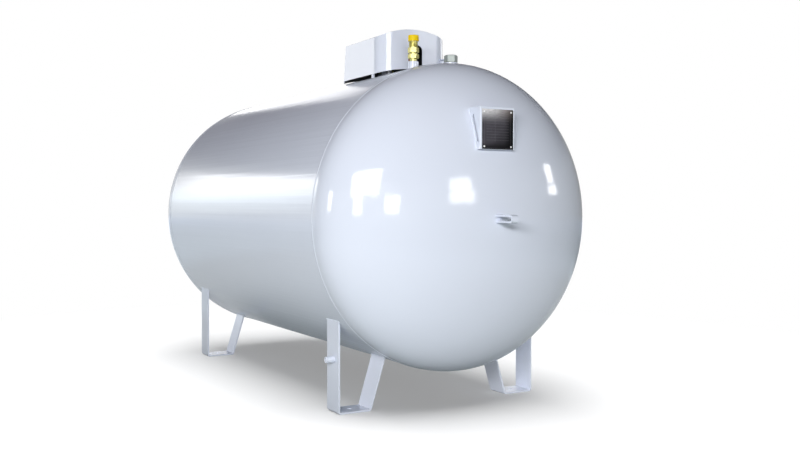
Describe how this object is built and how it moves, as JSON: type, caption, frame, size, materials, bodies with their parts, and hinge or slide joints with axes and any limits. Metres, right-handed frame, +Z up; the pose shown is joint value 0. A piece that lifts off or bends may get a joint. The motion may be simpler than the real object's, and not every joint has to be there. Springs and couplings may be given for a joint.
{
  "type": "horizontal pressure tank",
  "caption": "White horizontal steel pressure tank with domed heads on strap legs, a filling valve, a plug and a hinged hood over its fittings.",
  "frame": {"origin": "on the ground, under the tank's middle", "axes": "+X along the tank towards the data plate, -Y towards the flank that the picture shows, +Z up"},
  "size_m": [2.741, 1.254, 1.587],
  "materials": {
    "white_paint": "gloss",
    "brass": "machined",
    "zinc_steel": "zinc plated",
    "dark_metal": "etched",
    "yellow_plastic": "moulded",
    "black_plastic": "moulded",
    "red_plastic": "moulded"
  },
  "bodies": {
    "tank": {"shell": "white_paint", "front_head": "white_paint", "back_head": "white_paint", "front_seam": "white_paint", "back_seam": "white_paint", "front_left_leg": "white_paint", "front_right_leg": "white_paint", "back_left_leg": "white_paint", "back_right_leg": "white_paint", "earthing_boss": "white_paint", "front_lug": "white_paint", "back_lug": "white_paint", "plate_bracket": "white_paint", "fill_coupling": "white_paint", "plug_coupling": "white_paint", "gauge_coupling": "white_paint", "service_coupling": "white_paint", "relief_coupling": "white_paint", "hinge_ears": "white_paint", "hood_rests": "white_paint", "tank_eye": "white_paint", "fill_valve": "brass", "gauge_flange": "brass", "service_valve": "brass", "relief_valve": "brass", "hex_plug": "zinc_steel", "hinge_pin": "zinc_steel", "plate_rivets": "zinc_steel", "data_plate": "dark_metal", "fill_cap": "yellow_plastic", "gauge_dial": "black_plastic", "service_wheel": "black_plastic", "relief_cap": "red_plastic"},
    "hood": {"hood_wall": "white_paint", "hood_back": "white_paint", "hood_roof": "white_paint", "hinge_straps": "white_paint", "hood_eye": "white_paint"}
  },
  "joints": [
    {"name": "hood_hinge", "type": "hinge", "parent": "tank", "child": "hood", "pos_m": [0.272, 0, 1.43], "axis": [0, -1, 0], "range_deg": [0, 95]}
  ]
}
